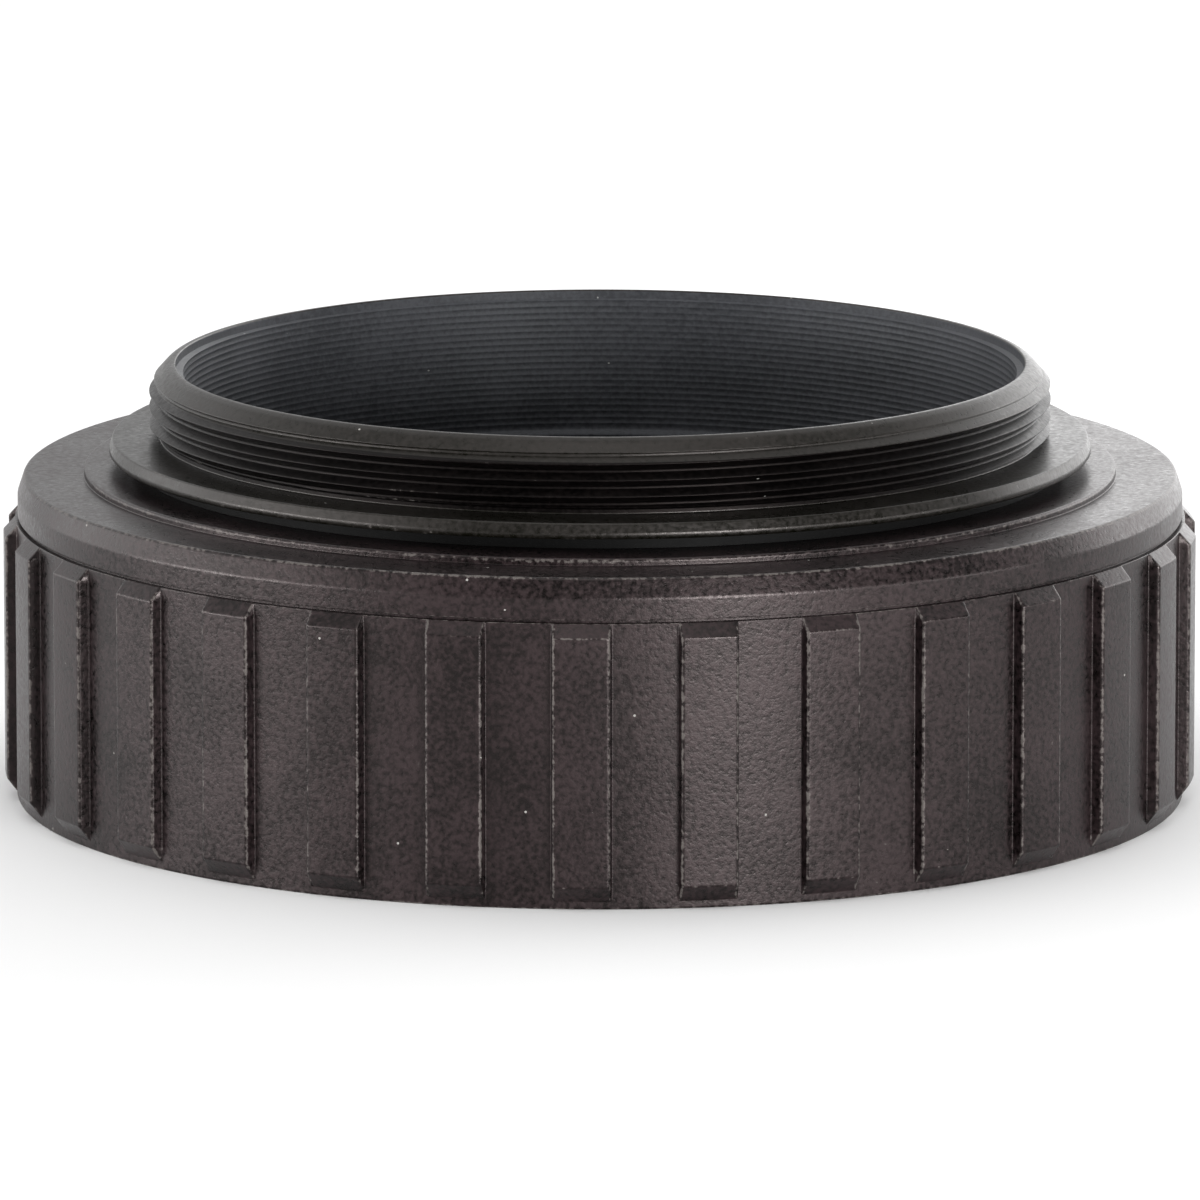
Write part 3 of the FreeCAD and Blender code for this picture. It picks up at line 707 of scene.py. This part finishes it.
# %% Polish the two lenses
lens_r = reach("crown_element")
low_face, cemented_face, top_face = 95, 58, 160      # mm, radii of the ball-shaped faces
lens_bevel = 0.15
face_steps = 14


def hollow(radius, across):
    """How far a ball-shaped face of that radius lies below its middle at a distance across."""
    return radius - math.sqrt(radius ** 2 - across ** 2)


def lens(name, low_middle, low_curve, high_middle, high_curve):
    """A lens. A face climbs away from its middle if its curve is positive and falls if it is negative."""
    steps = [lens_r * i / face_steps for i in range(face_steps + 1)]
    low = [(r, low_middle + math.copysign(hollow(abs(low_curve), r), low_curve), 0) for r in steps]
    high = [(r, high_middle + math.copysign(hollow(abs(high_curve), r), high_curve), 0) for r in steps]
    rim = [(*low[-1][:2], lens_bevel), (*high[-1][:2], lens_bevel)]
    corners = low[:-1] + rim + high[-2::-1]
    return turned_solid(name, rounded(corners, closed=False))


def coated_glass():
    """Clear optical glass with a green coating and the faintest haze of dust."""
    material, net, shader = new_finish("coated_optical_glass")
    place = net.node("ShaderNodeTexCoord", out=3)
    haze = noise(net, place, 180, 3)
    plug(shader, "Base Color", mix_colours(net, haze, (0.965, 0.985, 0.972, 1), (0.985, 0.995, 0.99, 1)))
    plug(shader, "Roughness", haze * 0.03 + specks(net, place, 500, 0.05, 0.08) * 0.3)
    shader.inputs["Transmission Weight"].default_value = 1
    shader.inputs["IOR"].default_value = 1.6
    shader.inputs["Specular Tint"].default_value = (0.35, 0.85, 0.60, 1)
    return material


crown_low, crown_high = height_range("crown_element")
flint_low, flint_high = height_range("flint_element")
crown_glass = lens("crown_glass", crown_low + hollow(low_face, lens_r), -low_face,
                   crown_high - hollow(cemented_face, lens_r), cemented_face)
flint_glass = lens("flint_glass", flint_low, cemented_face,
                   flint_high - hollow(top_face, lens_r), top_face)
glass = coated_glass()
for element in (crown_glass, flint_glass):
    element.data.materials.append(glass)
    print(element.name, len(element.data.polygons), "faces")

# %% [markdown]
# ## The pieces that keep their solid shape
# The glide washers, the spring, the stop, the cushion, the cell and its rings are plain enough to show
# as they are. They only need finishes of their own: acetal made nearly black with very little gloss, which
# paints the shade of the gap under the collar disc where the top washer's edge shows, rolled spring steel
# with lines that run round it, flock that swallows the light, and soft rubber.

# %% Make the other finishes
def soft_finish(name, dark, light, roughness, scale, depth, ior=1.5):
    """A dull finish without metal: two shades mixed by noise, and a bump of the same grain."""
    material, net, shader = new_finish(name)
    place = net.node("ShaderNodeTexCoord", out=3)
    grain = noise(net, place, scale, 3)
    patches = noise(net, place, 300, 2)
    plug(shader, "Base Color", mix_colours(net, grain, (*dark, 1), (*light, 1)))
    plug(shader, "Roughness", roughness + (patches - 0.5) * 0.1 + (grain - 0.5) * 0.1)
    plug(shader, "Normal", relief(net, grain, depth))
    shader.inputs["IOR"].default_value = ior
    return material


def rolled_steel():
    """Spring steel whose fine lines run round the axis."""
    material, net, shader = new_finish("spring_steel_strip")
    place = net.node("ShaderNodeTexCoord", out=3)
    parts = net.node("ShaderNodeSeparateXYZ", values={0: place})
    x, y, z = (Net(net.tree, socket) for socket in parts.socket.node.outputs)
    across = net.node("ShaderNodeCombineXYZ", values={"X": net.math("SQRT", x * x + y * y), "Z": z})
    lines = noise(net, across, 16000, 2)
    plug(shader, "Base Color", mix_colours(net, lines, (0.30, 0.30, 0.31, 1), (0.46, 0.46, 0.45, 1)))
    plug(shader, "Roughness", 0.25 + lines * 0.2)
    plug(shader, "Normal", relief(net, lines, 0.002))
    shader.inputs["Metallic"].default_value = 1
    return material


# Painted shade: the acetal is nearly black and has very little gloss, so the top washer's edge reads as the
# dark gap under the collar disc. The bottom washer shares this finish.
acetal = soft_finish("greased_black_acetal", (0.0008, 0.0008, 0.0008), (0.002, 0.002, 0.002), 0.5, 2500,
                     0.004, 1.15)
flock = soft_finish("black_flock", (0.001, 0.001, 0.001), (0.006, 0.006, 0.006), 0.95, 12000, 0.06)
rubber = soft_finish("soft_black_rubber", (0.006, 0.006, 0.006), (0.014, 0.014, 0.013), 0.75, 3000, 0.01)
finish_of = {
    "top_glide_washer": acetal, "bottom_glide_washer": acetal, "wave_washer": rolled_steel(),
    "glare_stop": flock, "lens_cushion_ring": rubber, "lens_cell": turned_black,
    "lens_retaining_ring": turned_black, "flange_nut": turned_black}
for node, finish in finish_of.items():
    for holder in frame["nodes"][node].material_slots:
        holder.material = finish
print("finished", ", ".join(sorted(finish_of)))

# %% [markdown]
# ## Which body each piece rides on
# The ring turns, and everything else stays with the tube. A piece that stands in for a solid hides it.

# %% Ride and replace
for shell in (ring_shell, socket_thread):
    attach(shell, "coupling")
    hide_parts("grip_ring")
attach(nose, "optical_body")
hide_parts("nose_body")
for element, node in ((crown_glass, "crown_element"), (flint_glass, "flint_element")):
    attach(element, "optical_body")
    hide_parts(node)

# %% [markdown]
# ## Room, light and camera
# Black metal is lit by what it reflects. The room behind the part is bright, most of all on the right, and
# the room in front of it is dim, so that the front stays dark and the flanks and upper faces shine. A
# small lamp at the front right wakes the sparkle of the blasting, and two low strips light the ribs that
# turn away to the sides. They stand low because upright ribs, seen from a little above, reflect the floor
# in front of them.

# %% Floor and surround
def plain(name, grey, roughness):
    """A plain studio surface."""
    material, net, shader = new_finish(name)
    shader.inputs["Base Color"].default_value = (grey, grey, grey, 1)
    shader.inputs["Roughness"].default_value = roughness
    return material


floor_half = 3.0
floor_mesh = bpy.data.meshes.new("floor")
floor_mesh.from_pydata([(-floor_half, -floor_half, 0), (floor_half, -floor_half, 0),
                        (floor_half, floor_half, 0), (-floor_half, floor_half, 0)], [], [(0, 1, 2, 3)])
floor_mesh.materials.append(plain("pale_floor", 0.78, 0.9))
floor = bpy.data.objects.new("floor", floor_mesh)
bpy.context.scene.collection.objects.link(floor)

world = bpy.data.worlds.new("soft_surround")
world.use_nodes = True
air = Net(world.node_tree)
direction = air.node("ShaderNodeTexCoord", out=0)


def glow(aim, narrowness, strength):
    """Light from one side of the room, brightest along aim."""
    unit = Vector(aim).normalized()
    facing = air.node("ShaderNodeVectorMath", {"operation": "DOT_PRODUCT"}, {0: direction, 1: unit}, out=1)
    return air.math("POWER", air.math("MAXIMUM", facing, 0), narrowness) * strength


everywhere = 0.07
rear_wall = glow((0, 1, 0), 1.5, 0.39)
rear_windows = glow((0.75, 0.6, 0.1), 5, 1.3) + glow((-0.75, 0.6, 0.1), 5, 0.45)
left_window = glow((-1, -0.2, 0), 5, 3.6)
ceiling = glow((0, 0.4, 0.9), 2, 1.0) + glow((0, -0.5, 0.87), 14, 2.4)
surround = everywhere + rear_wall + rear_windows + left_window + ceiling
seen_directly = air.node("ShaderNodeLightPath", out=0)
brightness = air.math("MAXIMUM", surround, seen_directly)
backdrop = world.node_tree.nodes["Background"]
backdrop.inputs["Color"].default_value = (1, 1, 1, 1)
world.node_tree.links.new(brightness.socket, backdrop.inputs["Strength"])
bpy.context.scene.world = world
print("surround made of", len(world.node_tree.nodes), "nodes")

# %% Lights and camera
light_target = Vector((0, 0, 0.012))


def soft_light(name, place, width, height, radiance):
    """An area light in metres that looks at the part and that the camera doesn't see."""
    lamp = bpy.data.lights.new(name, "AREA")
    lamp.shape = "RECTANGLE"
    lamp.size = width
    lamp.size_y = height
    lamp.energy = radiance * math.pi * width * height
    holder = bpy.data.objects.new(name, lamp)
    holder.location = place
    holder.rotation_euler = (light_target - Vector(place)).to_track_quat("-Z", "Y").to_euler()
    holder.visible_camera = False
    bpy.context.scene.collection.objects.link(holder)
    return holder


soft_light("back_right_panel", (0.068, 0.14, 0.045), 0.12, 0.12, 1.7)
soft_light("right_softbox", (0.40, 0.26, 0.12), 0.22, 0.22, 3.6)
soft_light("left_softbox", (-0.40, 0.22, 0.12), 0.22, 0.22, 1.6)
soft_light("front_right_lamp", (0.21, -0.44, 0.047), 0.20, 0.09, 46)
soft_light("left_low_strip", (-0.45, -0.14, 0.032), 0.40, 0.06, 19)
soft_light("right_low_strip", (0.43, -0.17, 0.032), 0.35, 0.06, 8)

eye = bpy.data.cameras.new("camera")
eye.sensor_width = 36
eye.lens = 418.7
camera = bpy.data.objects.new("camera", eye)
look_at = Vector((0, 0, 0.00892))
camera.location = (0, -0.6404, 0.1324)
camera.rotation_euler = (look_at - camera.location).to_track_quat("-Z", "Y").to_euler()
bpy.context.scene.collection.objects.link(camera)
bpy.context.scene.camera = camera
bpy.context.scene.view_settings.view_transform = "Standard"
